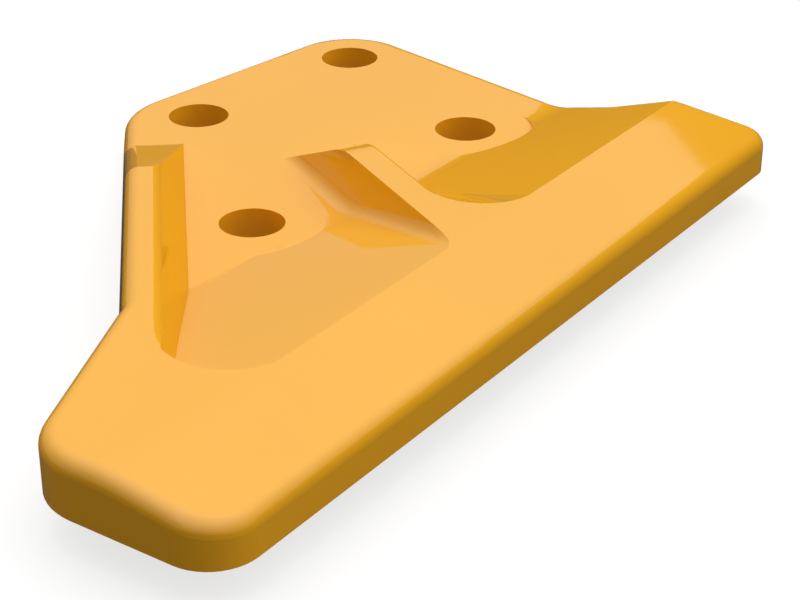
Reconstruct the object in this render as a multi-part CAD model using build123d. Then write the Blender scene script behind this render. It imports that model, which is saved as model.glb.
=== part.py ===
"""Side cutter for an excavator bucket: one casting that bolts to the outside of the bucket's side plate.

It is drawn in millimetres along its cutting edge, from the front left bolt hole, and turned at the end so
that the rows of bolt holes lie along X. The flat back face is at z = 0 and the show side looks up.
"""
import os
from math import atan, cos, degrees, radians, sin, tan

from build123d import *

# Bolt pattern: two rows of two, the rear row shifted to the right
hole_d = 26.0
front_pitch = 126.5
rear_pitch = 95.0
row_gap = 95.0
rear_row_shift = 59.1
spotface_d = 58.0
edge_to_rows = 7.7

# Mounting plate
plate_thickness = 16.0
rear_margin = 29.2
right_margin = 29.2
left_margin = 31.6
pad_left_reach = 112.0
left_side_heading = 48.7
right_side_heading = 86.1
plate_draft = 6.4
plate_reach = 78.0
plate_toe_angle = 45.0
rear_left_r = 35.0
rear_right_r = 30.0

# Wing, measured from the front left hole
back_step = 14.0
wing_height = 35.2
crest_distance = 96.5
front_distance = 139.2
blade_drop = 5.8
left_reach = 189.9
right_reach = 167.1
right_end_heading = 93.9
right_shoulder = 65.0
shoulder_angle = 23.5
shoulder_distance = 17.1
left_front_r = 17.8
right_front_r = 11.0
shoulder_r = 26.5
waist_r = 10.0
wing_overlap = 40.0

# Ramps from the plate up to the crest; their toe isn't quite parallel to it
toe_distance = 23.3
toe_heading = -4.84
toe_blend_r = 50.0
pocket_corner_r = 24.0
foot_r = 5.8

# Left rib
left_wall_distance = 25.4
left_wall_angle = 63.4
left_rib_toe = 80.3
left_rib_rear_angle = 16.3

# Centre rib
rib_heading = 61.5
rib_distance = 49.8
rib_width = 12.5
rib_toe = 51.0
rib_rear_angle = 24.8
rib_left_angle = 75.0
rib_right_angle = 60.7
rib_corner_r = 17.0

# Cast edges
crest_r = 80.0
rib_end_r = 30.0
rib_edge_r = 1.5
top_edge_r = 5.8

# Worked out from the sizes above
SPAN = 800.0
NEAR = 0.001
STEEP = 0.8
overrun = 1.2
rise = wing_height - plate_thickness
left_side = left_side_heading - edge_to_rows
right_side = right_side_heading - edge_to_rows
front_left = Vector(0, 0)
rows = Rot(0, 0, -edge_to_rows)


def row_point(along, back):
    """A point given along the hole rows and back from the front row, in the drawing's frame."""
    return (rows * Pos(along, back, 0)).position


front_right = row_point(front_pitch, 0)
rear_left = row_point(rear_row_shift, row_gap)
rear_right = row_point(rear_row_shift + rear_pitch, row_gap)
holes = [front_left, front_right, rear_left, rear_right]


def heading(angle):
    """Unit vector in plan at an angle from the cutting edge."""
    return Vector(cos(radians(angle)), sin(radians(angle)))


def meet(point_a, heading_a, point_b, heading_b):
    """Where two lines in plan cross, each given by a point and a heading."""
    a = heading(heading_a)
    b = heading(heading_b)
    gap = point_b - point_a
    along = (gap.X * b.Y - gap.Y * b.X) / (a.X * b.Y - a.Y * b.X)
    return point_a + a * along


def wall(foot, outward, lean=0.0):
    """Plane through a point, facing a heading in plan and leaning back from upright by an angle."""
    out = heading(outward)
    normal = Vector(out.X * cos(radians(lean)), out.Y * cos(radians(lean)), sin(radians(lean)))
    return Plane(origin=foot, z_dir=normal)


def ramp(foot, uphill, slope):
    """Plane through a point that rises towards a heading in plan; its normal looks up."""
    return wall(foot, uphill + 180, 90 - slope)


def slope_from(distance, uphill, slope):
    """Ramp that leaves the plate's top at a distance, along its own heading, from the front left hole."""
    return ramp(at(heading(uphill) * distance, plate_thickness), uphill, slope)


def at(plan_point, height):
    return Vector(plan_point.X, plan_point.Y, height)


def inside(solid, *planes):
    """What is left of a solid behind every plane."""
    for plane in planes:
        solid = split(solid, bisect_by=plane, keep=Keep.BOTTOM)
    return solid


def outside(solid, *planes):
    """What is left of a solid in front of every plane."""
    for plane in planes:
        solid = split(solid, bisect_by=plane, keep=Keep.TOP)
    return solid


def nearest_edge(solid, point):
    return solid.edges().sort_by(lambda edge: edge.distance_to(point))[0]


def edges_in(solid, *planes):
    """Edges of a solid that lie wholly in every plane given."""

    def lies(edge, plane):
        return all(abs(plane.to_local_coords(edge @ t).Z) < NEAR for t in (0, 0.5, 1))

    return [edge for edge in solid.edges() if all(lies(edge, plane) for plane in planes)]


def slab(low, high):
    """A very wide slab between two heights."""
    return Pos(0, 0, low) * Box(SPAN, SPAN, high - low, align=(Align.CENTER, Align.CENTER, Align.MIN))


def outline(corners, radii):
    """Flat face through corners in plan, each rounded by its own radius; 0 leaves a corner sharp."""
    face = make_face(Polyline(*[(c.X, c.Y) for c in corners], close=True))
    for corner, radius in zip(corners, radii):
        if radius:
            vertex = face.vertices().sort_by(lambda v: abs(v.center() - corner))[0]
            face = fillet(vertex, radius)
    return face


def plate_sides():
    """Points on the left, rear and right sides of the plate's top, square out from the rear holes."""
    return (
        rear_left + heading(left_side + 90) * left_margin,
        rear_left + heading(90 - edge_to_rows) * rear_margin,
        rear_right + heading(right_side - 90) * right_margin,
    )


def waist():
    """Where the wing's shoulder leaves the plate's left side."""
    shoulder_point = heading(shoulder_angle + 90) * shoulder_distance
    return meet(shoulder_point, shoulder_angle, plate_sides()[0], left_side)


def plate():
    """Mounting plate with its back pad, drafted all round and drawn to the full height of the wing."""
    spread = plate_thickness * tan(radians(plate_draft))
    left_point, rear_point, right_point = plate_sides()
    left_foot = left_point + heading(left_side + 90) * spread
    rear_foot = rear_point + heading(90 - edge_to_rows) * spread
    right_foot = right_point + heading(right_side - 90) * spread
    toe_line = Vector(0, -plate_reach - wing_height)
    corners = [
        meet(left_foot, left_side, toe_line, 0),
        meet(right_foot, right_side, toe_line, 0),
        meet(right_foot, right_side, rear_foot, -edge_to_rows),
        meet(left_foot, left_side, rear_foot, -edge_to_rows),
    ]
    face = outline(corners, [0, 0, rear_right_r + spread, rear_left_r + spread])
    blank = extrude(face, wing_height, taper=plate_draft)
    for end, outward in [(Vector(0, -plate_reach), -90), (Vector(-pad_left_reach, 0), 180)]:
        toe_top = end + heading(outward) * back_step
        blank = inside(blank, wall(end, outward, -plate_toe_angle), wall(toe_top, outward))
    return blank


def wing():
    """The wing that stands past the bucket's edge; its rear corners are buried in the plate."""
    right_end = Vector(right_reach, -crest_distance)
    corners = [
        Vector(-left_reach, -front_distance),
        meet(right_end, right_end_heading, Vector(0, -front_distance), 0),
        meet(right_end, right_end_heading, Vector(0, -right_shoulder), 0),
        waist() + heading(shoulder_angle) * wing_overlap,
        meet(waist(), shoulder_angle, Vector(-left_reach, 0), 90),
    ]
    face = outline(corners, [left_front_r, right_front_r, 0, 0, shoulder_r])
    return extrude(Pos(0, 0, back_step) * face, wing_height - back_step)


def above_blade():
    """Everything over the sloping blade, in front of the crest."""
    fall = degrees(atan(blade_drop / (front_distance - crest_distance)))
    crest = Vector(0, -crest_distance, wing_height)
    return outside(slab(plate_thickness, 2 * wing_height), ramp(crest, 90, fall), wall(crest, -90))


def ramp_section(x):
    """Section of the room over the ramps, square to the cutting edge, drawn on past the crest."""
    toe = toe_distance - x * tan(radians(toe_heading))
    ramp_end = Vector(-toe - overrun * (crest_distance - toe), plate_thickness + overrun * rise)
    corners = [
        Vector(-toe, plate_thickness),
        Vector(SPAN, plate_thickness),
        Vector(SPAN, 2 * wing_height),
        Vector(ramp_end.X, 2 * wing_height),
        ramp_end,
    ]
    across = Plane(origin=(x, 0, 0), x_dir=(0, 1, 0), z_dir=(1, 0, 0))
    return (across * outline(corners, [toe_blend_r, 0, 0, 0, 0])).face()


def above_ramps(*walls):
    """Room over the plate and the ramps, in front of the walls given."""
    return outside(loft([ramp_section(-SPAN / 3), ramp_section(SPAN / 3)], ruled=True), *walls)


def rib_side(across, slope, uphill):
    """Foot point, uphill heading and slope of a side of the centre rib, from its distance at the rib's top."""
    top_point = heading(rib_heading - 90) * across
    return top_point - heading(uphill) * (rise / tan(radians(slope))), uphill, slope


def side_plane(foot_point, uphill, slope):
    """Plane of a side wall that stands on the plate."""
    return ramp(at(foot_point, plate_thickness), uphill, slope)


left_wall = (heading(left_side + 90) * left_wall_distance, left_side + 90, left_wall_angle)
rib_left_wall = rib_side(rib_distance - rib_width / 2, rib_left_angle, rib_heading - 90)
rib_right_wall = rib_side(rib_distance + rib_width / 2, rib_right_angle, rib_heading + 90)


def foot_edges(room, *walls):
    """Edges of a room along which its side walls stand on the plate and the ramp."""
    found = []
    for side_wall in walls:
        found += edges_in(room, side_plane(*side_wall))
    return [edge for edge in found if max((edge @ 0).Z, (edge @ 1).Z) < 1.5 * wing_height]


def crest_corner(foot_point, uphill, slope):
    """Room beside a side wall, its corner with the ramp rounded by a cone that grows up to the crest."""
    apex = at(meet(foot_point, uphill + 90, Vector(0, -toe_distance), toe_heading), plate_thickness)
    top_point = foot_point + heading(uphill) * (rise / tan(radians(slope)) - pocket_corner_r)
    centre = at(meet(top_point, uphill + 90, Vector(0, pocket_corner_r - crest_distance), 0), wing_height)
    on_wall = centre + heading(uphill) * pocket_corner_r
    on_crest = centre - Vector(0, pocket_corner_r)
    chamfer = Plane(origin=apex, z_dir=(on_wall - apex).cross(on_crest - apex))
    if chamfer.z_dir.Z < 0:
        chamfer = -chamfer
    rim_centre = apex + (centre - apex) * overrun
    rim = Pos(*rim_centre) * Circle(pocket_corner_r * overrun)
    cone = loft([rim.face(), Vertex(*apex)])
    return above_ramps(side_plane(foot_point, uphill, slope), chamfer) + cone


def rib_corner():
    """Upright prism left of the centre rib, rounded where the rib's top edge meets the crest."""
    rib_edge = heading(rib_heading - 90) * (rib_distance - rib_width / 2)
    crest_point = Vector(0, -crest_distance)
    sides = [wall(rib_edge, rib_heading - 90), wall(crest_point, -90)]
    prism = inside(slab(plate_thickness, 2 * wing_height), *sides)
    corner = meet(rib_edge, rib_heading, crest_point, 0)
    return fillet(nearest_edge(prism, at(corner, wing_height)), rib_corner_r)


def left_pocket():
    """Room over the left ramp, between the left rib and the centre rib."""
    room = above_ramps(side_plane(*left_wall), side_plane(*rib_left_wall))
    room = fillet(foot_edges(room, left_wall, rib_left_wall), foot_r)
    return room & rib_corner() & crest_corner(*left_wall)


def right_pocket():
    """Room over the right ramp and the plate behind it."""
    room = above_ramps(side_plane(*rib_right_wall))
    return fillet(foot_edges(room, rib_right_wall), foot_r) & crest_corner(*rib_right_wall)


left_slope = slope_from(-left_rib_toe, left_side + 180, left_rib_rear_angle)
centre_slope = slope_from(-rib_toe, rib_heading + 180, rib_rear_angle)


def rib_ends():
    """Room over the rear slopes of both ribs, the centre one no wider than that rib's foot."""
    room = slab(plate_thickness, 2 * wing_height)
    left_end = outside(room, left_slope, wall(front_left, left_side + 90))
    across = heading(rib_heading - 90)
    reach = rib_width / 2 + rise + foot_r
    left_limit = wall(across * (rib_distance - reach), rib_heading + 90)
    right_limit = wall(across * (rib_distance + reach), rib_heading - 90)
    return [left_end, inside(outside(room, centre_slope), left_limit, right_limit)]


def spotfaces():
    """Flat seats for the bolt heads of the front row, cut into the ramps and clear of the left rib's foot."""
    rib_foot = wall(heading(left_side + 90) * (left_wall_distance - foot_r), left_side + 90)
    seats = []
    for hole in holes[:2]:
        seat = Pos(hole.X, hole.Y, plate_thickness) * Cylinder(
            spotface_d / 2, 2 * wing_height, align=(Align.CENTER, Align.CENTER, Align.MIN)
        )
        seats.append(inside(seat, rib_foot))
    return seats


def blank():
    """Plate and wing as one block, with the hollow corner between them rounded."""
    block = plate() + wing()
    return fillet(nearest_edge(block, at(waist(), (back_step + wing_height) / 2)), waist_r)


def rim_edges(solid, sides):
    """Upper edges of the casting's outer sides."""
    rim = []
    for edge in solid.edges():
        middle = edge @ 0.5
        above_step = middle.Z > back_step + NEAR
        upright = abs((edge % 0.5).Z) > STEEP
        if above_step and not upright and min(side.distance_to(middle) for side in sides) < NEAR:
            rim.append(edge)
    return rim


top = Plane.XY.offset(wing_height)
casting = blank()
outer_sides = [face for face in casting.faces() if abs(face.normal_at().Z) < 1 - STEEP]
casting -= above_blade()
casting = fillet(edges_in(casting, top, wall(Vector(0, -crest_distance), -90)), crest_r)
for room in rib_ends():
    casting -= room
casting = fillet(edges_in(casting, top, centre_slope), rib_end_r)
casting -= right_pocket()
casting = fillet(rim_edges(casting, outer_sides), top_edge_r)
casting -= left_pocket()
casting = fillet(edges_in(casting, top, side_plane(*left_wall)), top_edge_r)
casting = fillet(edges_in(casting, top, side_plane(*rib_right_wall)), rib_edge_r)
for seat in spotfaces():
    casting -= seat
for hole in holes:
    casting -= Pos(hole.X, hole.Y, 0) * Cylinder(hole_d / 2, 4 * wing_height)
pattern_centre = (holes[0] + holes[1] + holes[2] + holes[3]) / 4
casting = Rot(0, 0, edge_to_rows) * Pos(-pattern_centre.X, -pattern_centre.Y, 0) * casting

os.makedirs("parts", exist_ok=True)
export_step(casting, "parts/side_cutter.step")
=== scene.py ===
"""Looks for the bucket side cutter: glossy cast paint, a soft studio and the photograph's camera."""
import math

import bmesh
import bpy
from mathutils import Matrix, Vector
from mathutils.bvhtree import BVHTree
from mathutils.interpolate import poly_3d_calc


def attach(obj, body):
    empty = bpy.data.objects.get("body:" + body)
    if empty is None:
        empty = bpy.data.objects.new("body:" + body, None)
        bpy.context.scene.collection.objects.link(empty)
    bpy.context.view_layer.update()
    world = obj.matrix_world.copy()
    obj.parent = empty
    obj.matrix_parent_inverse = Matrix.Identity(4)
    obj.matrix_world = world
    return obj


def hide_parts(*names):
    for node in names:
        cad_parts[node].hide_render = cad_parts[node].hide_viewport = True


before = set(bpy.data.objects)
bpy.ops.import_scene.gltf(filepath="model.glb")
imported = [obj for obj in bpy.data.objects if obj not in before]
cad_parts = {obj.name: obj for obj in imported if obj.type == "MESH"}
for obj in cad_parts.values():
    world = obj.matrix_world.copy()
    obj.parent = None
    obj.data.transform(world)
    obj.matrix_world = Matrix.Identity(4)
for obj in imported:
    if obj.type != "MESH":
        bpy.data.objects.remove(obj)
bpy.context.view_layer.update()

bl_info = {
    "name": "Bucket side cutter looks",
    "version": (1, 0, 0),
    "blender": (4, 5, 0),
    "location": "View3D > Sidebar > Side cutter",
    "description": "Paints the cast side cutter and sets up its studio and camera",
    "category": "Object",
}

CASTING = "side_cutter"
FINISHED = "finished_casting"
MILLIMETRE = 0.001

# The left rib's wall is a leaning plane. ALONG runs down it towards the toe, ACROSS points into the pocket.
RIB_WALL_POINT = Vector((-0.1607, -0.0851, 0.0295))
RIB_WALL_NORMAL = Vector((0.6717, -0.5901, 0.4478))
RIB_WALL_ALONG = Vector((-0.660, -0.7513, 0.0))
RIB_WALL_ACROSS = Vector((0.7513, -0.660, 0.0))

# The left pocket's ramp rises from the plate as a gently curved surface over x and y, in metres.
PLATE_TOP = 0.016
RAMP_LEVEL = -0.00304793137
RAMP_BY_X = -0.0138754222
RAMP_BY_Y = -0.284062140
RAMP_BY_XX = -0.0503216504
RAMP_BY_XY = -0.205704411
RAMP_BY_YY = -0.0649982591

# Outline of the pocket's front corner from above, in millimetres, and how far its prism reaches in height.
POCKET_CORNER = (
    (-54.4, 35.6), (-176.7, -103.0), (-187.6, -106.6), (-189.3, -108.5), (-190.9, -110.6),
    (-193.3, -114.0), (-195.3, -117.4), (-196.8, -120.6), (-197.9, -123.8), (-198.7, -127.0),
    (-199.1, -130.1), (-199.1, -133.2), (-198.8, -136.3), (-198.1, -139.3), (-197.0, -142.1),
    (-195.6, -144.8), (-194.0, -147.4), (-192.0, -149.6), (-190.0, -151.5), (-187.8, -153.1),
    (-186.0, -154.2), (-178.9, -155.2), (-173.8, -156.1), (-160.0, -125.0), (-150.0, -95.0),
    (-130.0, -70.0), (-100.0, -35.0), (-45.0, 29.0),
)
PRISM_BOTTOM = 0.010
PRISM_TOP = 0.045

# Grid of the air in the pocket: rows along the rib's wall, and columns out over the floor.
FIRST_ROW = -0.17
ROW_STEP = 0.005
ROWS = 56
COLUMN_STEP = 0.004
COLUMNS = 16
WALL_REACH = 0.03
CREASE_HALVINGS = 40
AIR_GAP = 0.00007
AIR_TOP = 0.12

# How the finished mesh takes its shading normals.
WELD_DISTANCE = 0.000001
UNTOUCHED_GAP = 0.000005
UNTOUCHED_FACING = 0.9999
NEAR_SURFACE = 0.0003
SLOPE_PROBE = 0.0005
POCKET_FACING = 0.97
POCKET_ACROSS = (-0.006, 0.045)
POCKET_ALONG = (-0.16, 0.09)
REAR_SLOPE_NORMAL = Vector((0.185, 0.211, 0.960))
REAR_SLOPE_SHADING = Vector((-0.020, 0.277, 0.961))
REAR_SLOPE_FACING = 0.995
REAR_SLOPE_EDGE = -0.04

# The paint's clouds and the waves of its orange peel.
CLOUD_SCALE = 9.0
CLOUD_DETAIL = 3.0
CLOUD_LOW = 0.3
CLOUD_HIGH = 0.7
CLOUD_DARK = 0.985
CLOUD_PALE = 1.015
GLOSS_SPREAD = 0.02
PEEL_DETAIL = 2.0

# Shares of the floor's colour to the camera, to soft light and in the gloss, and its gap under the part.
FLOOR_SHADED = 0.3
FLOOR_GLOW = 0.77
FLOOR_BOUNCE = 0.2
FLOOR_IN_GLOSS = 0.04
FLOOR_DROP = 0.0002

# The world's colour, how soft the dark card's edge is, and the camera's sensor in millimetres.
WHITE = (1.0, 1.0, 1.0, 1.0)
CARD_EDGE_BLUR = 0.0005
SENSOR_WIDTH = 36.0


class CutterPaintSettings(bpy.types.PropertyGroup):
    """The glossy paint on the casting."""

    colour: bpy.props.FloatVectorProperty(
        name="Paint colour",
        description="Body colour of the paint, in scene-linear values",
        subtype="COLOR",
        size=3,
        min=0.0,
        max=1.0,
        default=(0.855, 0.398, 0.013),
    )
    roughness: bpy.props.FloatProperty(
        name="Roughness",
        description="Roughness of the paint's surface",
        subtype="FACTOR",
        min=0.0,
        max=1.0,
        default=0.03,
    )
    gloss_ior: bpy.props.FloatProperty(
        name="Refractive index",
        description="Refractive index of the paint, which sets how much it mirrors",
        min=1.0,
        max=2.0,
        default=1.5,
    )
    orange_peel: bpy.props.FloatProperty(
        name="Orange peel",
        description="Height of the faint waves in the sprayed paint",
        subtype="DISTANCE",
        min=0.0,
        default=0.000004,
    )
    peel_size: bpy.props.FloatProperty(
        name="Orange peel size",
        description="Distance between the waves in the sprayed paint",
        subtype="DISTANCE",
        min=0.0005,
        default=0.006,
    )


class CutterStageSettings(bpy.types.PropertyGroup):
    """The floor and the studio's light."""

    floor_size: bpy.props.FloatProperty(
        name="Floor size",
        description="Side of the square floor",
        subtype="DISTANCE",
        min=0.5,
        default=8.0,
    )
    floor_colour: bpy.props.FloatVectorProperty(
        name="Floor colour",
        description="Colour of the floor in the picture",
        subtype="COLOR",
        size=3,
        min=0.0,
        max=1.0,
        default=(0.95, 0.95, 0.95),
    )
    sky_level: bpy.props.FloatProperty(
        name="Light at the horizon",
        description="Even light from all round",
        min=0.0,
        default=0.725,
    )
    sky_slope: bpy.props.FloatProperty(
        name="Light from above",
        description="How much brighter the light is straight above than at the horizon",
        min=0.0,
        default=1.016,
    )
    side_slope: bpy.props.FloatProperty(
        name="Light from the side",
        description="How much brighter the light is on the bright side of the studio than in the middle",
        min=0.0,
        default=0.971,
    )
    side_bearing: bpy.props.FloatProperty(
        name="Bright side",
        description="Direction of the studio's bright side, from +X towards +Y",
        subtype="ANGLE",
        default=math.radians(9.5),
    )
    panel_light: bpy.props.FloatProperty(
        name="Wall brightness",
        description="Brightness of the studio's white walls in what the paint mirrors",
        min=0.0,
        default=0.42,
    )
    ceiling_light: bpy.props.FloatProperty(
        name="Ceiling brightness",
        description="How much brighter the studio's ceiling is than its walls in what the paint mirrors",
        min=0.0,
        default=2.5,
    )
    brightest: bpy.props.FloatProperty(
        name="Brightest ceiling",
        description="Most light that the paint mirrors from the ceiling",
        min=0.0,
        default=2.4,
    )
    card_light: bpy.props.FloatProperty(
        name="Light off the dark card",
        description="Share of the soft light that still comes from behind the dark card",
        subtype="FACTOR",
        min=0.0,
        max=1.0,
        default=0.15,
    )
    card_gloss: bpy.props.FloatProperty(
        name="Dark card in the gloss",
        description="How bright the dark card is beside the walls in what the paint mirrors",
        subtype="FACTOR",
        min=0.0,
        max=1.0,
        default=0.1,
    )
    card_bearing: bpy.props.FloatProperty(
        name="Dark card's bearing",
        description="Direction of the round dark card that the paint mirrors, from +X towards +Y",
        subtype="ANGLE",
        default=math.radians(2.5),
    )
    card_drop: bpy.props.FloatProperty(
        name="Dark card's drop",
        description="How far the middle of the dark card lies below the horizon",
        subtype="ANGLE",
        default=math.radians(14.0),
    )
    card_radius: bpy.props.FloatProperty(
        name="Dark card's radius",
        description="Angle from the middle of the dark card to its edge",
        subtype="ANGLE",
        default=math.radians(49.0),
    )
    floor_mirrored: bpy.props.FloatProperty(
        name="Floor in the gloss",
        description="How much of the white floor shows in what the paint mirrors",
        subtype="FACTOR",
        min=0.0,
        max=1.0,
        default=0.02,
    )


class CutterCameraSettings(bpy.types.PropertyGroup):
    """The photograph's viewpoint."""

    position: bpy.props.FloatVectorProperty(
        name="Camera position",
        description="Where the camera stands, from the middle of the bolt pattern",
        subtype="XYZ",
        unit="LENGTH",
        size=3,
        default=(-0.56608, -0.56445, 0.35370),
    )
    azimuth: bpy.props.FloatProperty(
        name="Azimuth",
        description="Direction that the camera looks in, from +X towards +Y",
        subtype="ANGLE",
        default=math.radians(42.39),
    )
    tilt: bpy.props.FloatProperty(
        name="Tilt",
        description="How far the camera looks down",
        subtype="ANGLE",
        default=math.radians(27.824),
    )
    roll: bpy.props.FloatProperty(
        name="Roll",
        description="Turn of the camera about its own axis",
        subtype="ANGLE",
        default=math.radians(0.10),
    )
    lens: bpy.props.FloatProperty(
        name="Focal length",
        description="Focal length on a sensor 36 mm wide",
        unit="CAMERA",
        min=1.0,
        default=90.514,
    )


class Signal:
    """A node's output that can be used in a Python expression."""

    def __init__(self, shader, socket):
        self.shader = shader
        self.socket = socket

    def maths(self, operation, first, second):
        node = self.shader.node("ShaderNodeMath", {"operation": operation}, {0: first, 1: second})
        return self.shader.signal(node)

    def __add__(self, other):
        return self.maths("ADD", self, other)

    def __radd__(self, other):
        return self.maths("ADD", other, self)

    def __sub__(self, other):
        return self.maths("SUBTRACT", self, other)

    def __rsub__(self, other):
        return self.maths("SUBTRACT", other, self)

    def __mul__(self, other):
        return self.maths("MULTIPLY", self, other)

    def __rmul__(self, other):
        return self.maths("MULTIPLY", other, self)

    def maximum(self, other):
        return self.maths("MAXIMUM", self, other)

    def minimum(self, other):
        return self.maths("MINIMUM", self, other)

    def step(self, low, high):
        """0 below low and 1 above high, with a smooth rise between."""
        sockets = {"Value": self, "From Min": low, "From Max": high}
        node = self.shader.node("ShaderNodeMapRange", {"interpolation_type": "SMOOTHSTEP"}, sockets)
        return self.shader.signal(node, "Result")


class Shader:
    """Builds the nodes of one material or world."""

    MIX_FACTOR = 0
    MIX_FIRST_COLOUR = 6
    MIX_SECOND_COLOUR = 7
    MIX_COLOUR_RESULT = 2

    def __init__(self, owner):
        owner.use_nodes = True
        self.tree = owner.node_tree
        self.tree.nodes.clear()

    def node(self, kind, settings=None, sockets=None):
        """Adds a node, applies its settings, and then gives its sockets values or links."""
        node = self.tree.nodes.new(kind)
        for name, value in (settings or {}).items():
            setattr(node, name, value)
        for name, value in (sockets or {}).items():
            if isinstance(value, Signal):
                value = value.socket
            if isinstance(value, bpy.types.NodeSocket):
                self.tree.links.new(value, node.inputs[name])
            else:
                node.inputs[name].default_value = value
        return node

    def signal(self, node, name=0):
        return Signal(self, node.outputs[name])

    def mix_colour(self, factor, first, second):
        sockets = {self.MIX_FACTOR: factor, self.MIX_FIRST_COLOUR: first, self.MIX_SECOND_COLOUR: second}
        return self.node("ShaderNodeMix", {"data_type": "RGBA"}, sockets).outputs[self.MIX_COLOUR_RESULT]

    def mix_shader(self, factor, first, second):
        sockets = {0: factor, 1: first, 2: second}
        return self.node("ShaderNodeMixShader", sockets=sockets).outputs[0]

    def diffuse(self, colour):
        return self.node("ShaderNodeBsdfDiffuse", sockets={"Color": colour}).outputs[0]


def colour4(colour, gain=1.0):
    """The colour times the gain, as a socket's four values."""
    return (colour[0] * gain, colour[1] * gain, colour[2] * gain, 1.0)


def paint_material(settings):
    """Glossy sprayed paint over a casting: cloudy colour, faint orange peel and uneven gloss."""
    material = bpy.data.materials.new("cast_paint")
    shader = Shader(material)
    place = shader.node("ShaderNodeTexCoord").outputs["Object"]
    cloud = shader.node(
        "ShaderNodeTexNoise",
        sockets={"Vector": place, "Scale": CLOUD_SCALE, "Detail": CLOUD_DETAIL},
    )
    peel = shader.node(
        "ShaderNodeTexNoise",
        sockets={"Vector": place, "Scale": 1.0 / settings.peel_size, "Detail": PEEL_DETAIL},
    )
    clouds = shader.signal(cloud)
    colour = shader.mix_colour(
        clouds.step(CLOUD_LOW, CLOUD_HIGH),
        colour4(settings.colour, CLOUD_DARK),
        colour4(settings.colour, CLOUD_PALE),
    )
    bump = shader.node(
        "ShaderNodeBump",
        sockets={"Height": shader.signal(peel), "Distance": settings.orange_peel, "Strength": 1.0},
    )
    paint = shader.node(
        "ShaderNodeBsdfPrincipled",
        sockets={
            "Base Color": colour,
            "Roughness": settings.roughness + GLOSS_SPREAD * clouds,
            "IOR": settings.gloss_ior,
            "Normal": bump.outputs["Normal"],
        },
    )
    shader.node("ShaderNodeOutputMaterial", sockets={"Surface": paint.outputs["BSDF"]})
    return material


def wall_height(x, y):
    """Height of the rib wall's plane above the point x, y."""
    run = (x - RIB_WALL_POINT.x) * RIB_WALL_NORMAL.x + (y - RIB_WALL_POINT.y) * RIB_WALL_NORMAL.y
    return RIB_WALL_POINT.z - run / RIB_WALL_NORMAL.z


def floor_height(x, y):
    """Height of the pocket's floor above the point x, y: the ramp, or the plate behind its foot."""
    straight = RAMP_BY_X * x + RAMP_BY_Y * y + RAMP_LEVEL
    curved = RAMP_BY_XY * x * y + RAMP_BY_YY * y * y + RAMP_BY_XX * x * x
    return max(straight + curved, PLATE_TOP)


def add_solid(name, lower, upper, faces, rim):
    """A closed mesh object from matching lower and upper points, their faces and the rim round them."""
    count = len(lower)
    shell = [face[::-1] for face in faces]
    shell += [tuple(index + count for index in face) for face in faces]
    for first, second in zip(rim, rim[1:] + rim[:1]):
        shell.append((first, second, second + count, first + count))
    mesh = bpy.data.meshes.new(name)
    mesh.from_pydata([*lower, *upper], [], shell)
    solid = bpy.data.objects.new(name, mesh)
    bpy.context.scene.collection.objects.link(solid)
    return solid


def corner_prism():
    """Everything inside the pocket corner's outline, seen from above."""
    outline = [(x * MILLIMETRE, y * MILLIMETRE) for x, y in POCKET_CORNER]
    rim = list(range(len(outline)))
    lower = [(x, y, PRISM_BOTTOM) for x, y in outline]
    upper = [(x, y, PRISM_TOP) for x, y in outline]
    return add_solid("corner_prism", lower, upper, [tuple(rim)], rim)


def find_crease(start):
    """The point on the line across the pocket from start where the rib's wall meets the floor."""
    near, far = -WALL_REACH, WALL_REACH
    for _ in range(CREASE_HALVINGS):
        middle = (near + far) / 2
        spot = start + RIB_WALL_ACROSS * middle
        if wall_height(spot.x, spot.y) > floor_height(spot.x, spot.y):
            near = middle
        else:
            far = middle
    return start + RIB_WALL_ACROSS * near


def open_pocket():
    """The air over the pocket's floor and in front of the rib's wall, with a sharp crease between them."""
    lower = []
    for row in range(ROWS):
        crease = find_crease(RIB_WALL_POINT + RIB_WALL_ALONG * (FIRST_ROW + ROW_STEP * row))
        back = crease - RIB_WALL_ACROSS * WALL_REACH
        lower.append((back.x, back.y, wall_height(back.x, back.y) + AIR_GAP))
        for column in range(COLUMNS):
            spot = crease + RIB_WALL_ACROSS * (COLUMN_STEP * column)
            lower.append((spot.x, spot.y, floor_height(spot.x, spot.y) + AIR_GAP))
    upper = [(x, y, AIR_TOP) for x, y, _ in lower]
    width = COLUMNS + 1
    faces = []
    for row in range(ROWS - 1):
        for column in range(COLUMNS):
            corner = row * width + column
            faces.append((corner, corner + 1, corner + width))
            faces.append((corner + 1, corner + width + 1, corner + width))
    rim = list(range(width))
    rim += [row * width + COLUMNS for row in range(1, ROWS)]
    rim += [(ROWS - 1) * width + column for column in range(COLUMNS - 1, -1, -1)]
    rim += [row * width for row in range(ROWS - 2, 0, -1)]
    return add_solid("open_pocket", lower, upper, faces, rim)


def combine(target, tool, operation):
    """Runs one exact boolean on the target object, applies it and removes the tool."""
    modifier = target.modifiers.new("shape", "BOOLEAN")
    modifier.operation = operation
    modifier.solver = "EXACT"
    modifier.object = tool
    bpy.context.view_layer.update()
    depsgraph = bpy.context.evaluated_depsgraph_get()
    result = bpy.data.meshes.new_from_object(target.evaluated_get(depsgraph))
    if not result.polygons:
        raise RuntimeError(f"Nothing is left of {target.name} after {operation} with {tool.name}")
    target.modifiers.clear()
    old = target.data
    target.data = result
    bpy.data.meshes.remove(old)
    bpy.data.objects.remove(tool)


def in_pocket(point):
    """Whether the point lies on the pocket's side of the rib's wall, near the sharpened crease."""
    across = (point - RIB_WALL_POINT).dot(RIB_WALL_ACROSS)
    along = (point - RIB_WALL_POINT).dot(RIB_WALL_ALONG)
    beside = POCKET_ACROSS[0] < across < POCKET_ACROSS[1]
    between = POCKET_ALONG[0] < along < POCKET_ALONG[1]
    return beside and between and point.z > PLATE_TOP - NEAR_SURFACE


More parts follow.
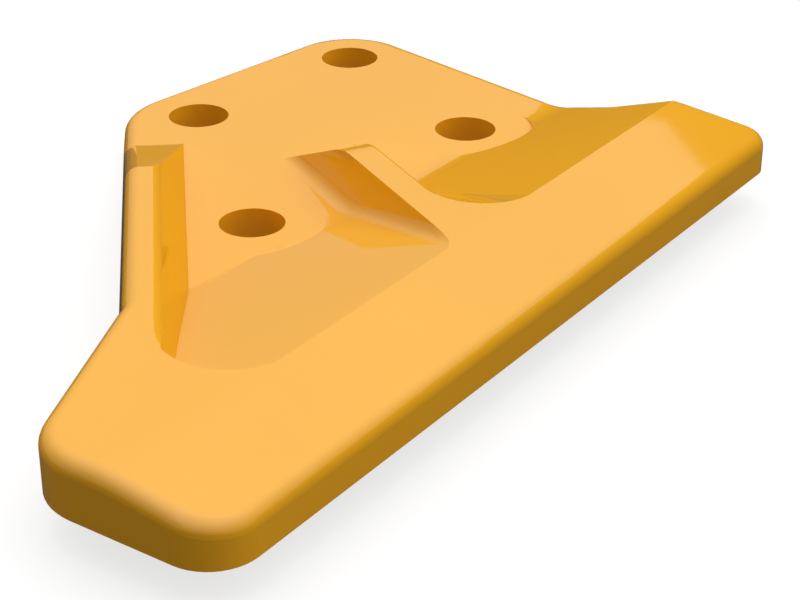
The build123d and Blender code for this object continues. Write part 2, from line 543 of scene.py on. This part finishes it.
def pocket_normal(point):
    """The pocket's normal where the point lies on its floor or the rib's wall, and None elsewhere."""
    if (point - RIB_WALL_POINT).dot(RIB_WALL_NORMAL) < NEAR_SURFACE:
        return RIB_WALL_NORMAL
    x, y = point.x, point.y
    if abs(point.z - floor_height(x, y)) < NEAR_SURFACE:
        rise_x = floor_height(x + SLOPE_PROBE, y) - floor_height(x - SLOPE_PROBE, y)
        rise_y = floor_height(x, y + SLOPE_PROBE) - floor_height(x, y - SLOPE_PROBE)
        return Vector((-rise_x, -rise_y, 2 * SLOPE_PROBE)).normalized()
    return None


def on_rear_slope(polygon):
    """Whether the face belongs to the left rib's rear slope."""
    level = REAR_SLOPE_NORMAL.dot(polygon.normal) > REAR_SLOPE_FACING
    return level and polygon.center.x < REAR_SLOPE_EDGE < polygon.center.y


def carry_normals(mesh, source):
    """Keeps the source's smooth normals, and gives the sharpened pocket those of its own surfaces."""
    points = [vertex.co for vertex in source.vertices]
    tree = BVHTree.FromPolygons(points, [polygon.vertices for polygon in source.polygons])
    smooth = [corner.vector.copy() for corner in source.corner_normals]
    normals = []
    for polygon in mesh.polygons:
        _, facing, index, gap = tree.find_nearest(polygon.center)
        untouched = gap < UNTOUCHED_GAP and facing.dot(polygon.normal) > UNTOUCHED_FACING
        pocket = pocket_normal(polygon.center) if in_pocket(polygon.center) else None
        on_pocket = pocket is not None and pocket.dot(polygon.normal) > POCKET_FACING
        for loop in polygon.loop_indices:
            corner = mesh.vertices[mesh.loops[loop].vertex_index].co
            normal = polygon.normal
            if on_rear_slope(polygon):
                normal = REAR_SLOPE_SHADING
            elif on_pocket:
                normal = pocket_normal(corner) or pocket
                if normal.dot(pocket) < POCKET_FACING:
                    normal = pocket
            elif untouched:
                old = source.polygons[index]
                shares = poly_3d_calc([points[vertex] for vertex in old.vertices], corner)
                parts = [smooth[at] * share for at, share in zip(old.loop_indices, shares)]
                normal = sum(parts, Vector())
            normals.append(normal.normalized())
    mesh.polygons.foreach_set("use_smooth", [True] * len(mesh.polygons))
    mesh.normals_split_custom_set(normals)


def weld(mesh):
    """Joins the points that lie on each other, so the mesh is closed for the cut."""
    welded = bmesh.new()
    welded.from_mesh(mesh)
    bmesh.ops.remove_doubles(welded, verts=welded.verts, dist=WELD_DISTANCE)
    welded.to_mesh(mesh)
    welded.free()


class SIDECUTTER_OT_casting(bpy.types.Operator):
    """Sharpen the left pocket's creases on a copy of the casting"""

    bl_idname = "sidecutter.casting"
    bl_label = "Finish the casting"

    def execute(self, context):
        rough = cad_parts[CASTING]
        finished = bpy.data.objects.new(FINISHED, rough.data.copy())
        context.scene.collection.objects.link(finished)
        weld(finished.data)
        prism = corner_prism()
        combine(prism, open_pocket(), "INTERSECT")
        combine(finished, prism, "DIFFERENCE")
        carry_normals(finished.data, rough.data)
        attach(finished, "root")
        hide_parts(CASTING)
        return {"FINISHED"}


class SIDECUTTER_OT_paint(bpy.types.Operator):
    """Give the casting its glossy paint"""

    bl_idname = "sidecutter.paint"
    bl_label = "Paint the casting"

    def execute(self, context):
        casting = bpy.data.objects[FINISHED]
        material = paint_material(context.scene.cutter_paint)
        if not casting.material_slots:
            casting.data.materials.append(material)
        for slot in casting.material_slots:
            slot.material = material
        return {"FINISHED"}


def floor_material(settings):
    """White to the camera with a soft shadow, and dim to the object above it."""
    material = bpy.data.materials.new("studio_floor")
    shader = Shader(material)
    rays = shader.node("ShaderNodeLightPath")
    glossy = shader.signal(rays, "Is Glossy Ray")
    seen = shader.signal(rays, "Is Camera Ray").maximum(shader.signal(rays, "Is Transmission Ray"))
    seen = seen.maximum(glossy * settings.floor_mirrored)
    dim = shader.mix_shader(
        glossy,
        shader.diffuse(colour4(settings.floor_colour, FLOOR_BOUNCE)),
        shader.diffuse(colour4(settings.floor_colour, FLOOR_IN_GLOSS)),
    )
    glow = shader.node(
        "ShaderNodeEmission",
        sockets={"Color": colour4(settings.floor_colour), "Strength": FLOOR_GLOW},
    )
    shaded = shader.diffuse(colour4(settings.floor_colour, FLOOR_SHADED))
    bright = shader.node("ShaderNodeAddShader", sockets={0: shaded, 1: glow.outputs[0]})
    surface = shader.mix_shader(seen, dim, bright.outputs[0])
    shader.node("ShaderNodeOutputMaterial", sockets={"Surface": surface})
    return material


def studio_world(settings):
    """Soft light from above and one side, and in the gloss, white walls with one round dark card."""
    world = bpy.data.worlds.new("studio")
    shader = Shader(world)
    rays = shader.node("ShaderNodeLightPath")
    direction = shader.node("ShaderNodeTexCoord").outputs["Generated"]
    parts = shader.node("ShaderNodeSeparateXYZ", sockets={"Vector": direction})
    across, along, height = (shader.signal(parts, axis) for axis in "XYZ")
    card = settings.card_bearing
    drop = settings.card_drop
    toward_card = (
        across * (math.cos(card) * math.cos(drop))
        + along * (math.sin(card) * math.cos(drop))
        - height * math.sin(drop)
    )
    edge = math.cos(settings.card_radius)
    open_wall = 1.0 - toward_card.step(edge - CARD_EDGE_BLUR, edge + CARD_EDGE_BLUR)
    bearing = settings.side_bearing
    sideways = across * math.cos(bearing) + along * math.sin(bearing)
    fill = settings.sky_level + height * height * settings.sky_slope + sideways * settings.side_slope
    fill = fill.maximum(0.0) * (settings.card_light + (1.0 - settings.card_light) * open_wall)
    panel = settings.panel_light + height * height * settings.ceiling_light
    wall_share = settings.card_gloss + (1.0 - settings.card_gloss) * open_wall
    mirrored = wall_share * panel.minimum(settings.brightest)
    seen = shader.signal(rays, "Is Camera Ray").maximum(shader.signal(rays, "Is Transmission Ray"))
    glossy = shader.signal(rays, "Is Glossy Ray")
    strength = seen + (1.0 - seen) * (glossy * mirrored + (1.0 - glossy) * fill)
    background = shader.node("ShaderNodeBackground", sockets={"Color": WHITE, "Strength": strength})
    shader.node("ShaderNodeOutputWorld", sockets={"Surface": background.outputs[0]})
    return world


class SIDECUTTER_OT_stage(bpy.types.Operator):
    """Lay the floor and light the studio"""

    bl_idname = "sidecutter.stage"
    bl_label = "Set the stage"

    def execute(self, context):
        settings = context.scene.cutter_stage
        half = settings.floor_size / 2
        mesh = bpy.data.meshes.new("floor")
        corners = [(-half, -half, 0.0), (half, -half, 0.0), (half, half, 0.0), (-half, half, 0.0)]
        mesh.from_pydata(corners, [], [(0, 1, 2, 3)])
        floor = bpy.data.objects.new("floor", mesh)
        floor.location.z = -FLOOR_DROP
        context.scene.collection.objects.link(floor)
        floor.data.materials.append(floor_material(settings))
        context.scene.world = studio_world(settings)
        context.scene.view_settings.view_transform = "Standard"
        return {"FINISHED"}


class SIDECUTTER_OT_camera(bpy.types.Operator):
    """Put the camera where the photograph was taken from"""

    bl_idname = "sidecutter.camera"
    bl_label = "Place the camera"

    def execute(self, context):
        settings = context.scene.cutter_camera
        camera = bpy.data.cameras.new("camera")
        camera.lens = settings.lens
        camera.sensor_width = SENSOR_WIDTH
        camera_object = bpy.data.objects.new("camera", camera)
        context.scene.collection.objects.link(camera_object)
        flat = math.cos(settings.tilt)
        ahead = Vector(
            (
                math.cos(settings.azimuth) * flat,
                math.sin(settings.azimuth) * flat,
                -math.sin(settings.tilt),
            )
        )
        turn = ahead.to_track_quat("-Z", "Y").to_matrix().to_4x4()
        roll = Matrix.Rotation(settings.roll, 4, "Z")
        camera_object.matrix_world = Matrix.Translation(settings.position) @ turn @ roll
        context.scene.camera = camera_object
        return {"FINISHED"}


class SIDECUTTER_PT_panel(bpy.types.Panel):
    """Lists the steps in the 3D view's sidebar"""

    bl_idname = "SIDECUTTER_PT_panel"
    bl_label = "Side cutter"
    bl_space_type = "VIEW_3D"
    bl_region_type = "UI"
    bl_category = "Side cutter"

    def draw(self, context):
        for operator in OPERATORS:
            self.layout.operator(operator.bl_idname)


SETTINGS = {
    "cutter_paint": CutterPaintSettings,
    "cutter_stage": CutterStageSettings,
    "cutter_camera": CutterCameraSettings,
}
OPERATORS = (SIDECUTTER_OT_casting, SIDECUTTER_OT_paint, SIDECUTTER_OT_stage, SIDECUTTER_OT_camera)


def register():
    for name, settings in SETTINGS.items():
        bpy.utils.register_class(settings)
        setattr(bpy.types.Scene, name, bpy.props.PointerProperty(type=settings))
    for operator in OPERATORS:
        bpy.utils.register_class(operator)
    bpy.utils.register_class(SIDECUTTER_PT_panel)


def unregister():
    bpy.utils.unregister_class(SIDECUTTER_PT_panel)
    for operator in reversed(OPERATORS):
        bpy.utils.unregister_class(operator)
    for name, settings in SETTINGS.items():
        delattr(bpy.types.Scene, name)
        bpy.utils.unregister_class(settings)


def main():
    register()
    bpy.ops.sidecutter.casting()
    bpy.ops.sidecutter.paint()
    bpy.ops.sidecutter.stage()
    bpy.ops.sidecutter.camera()


if __name__ == "__main__":
    main()
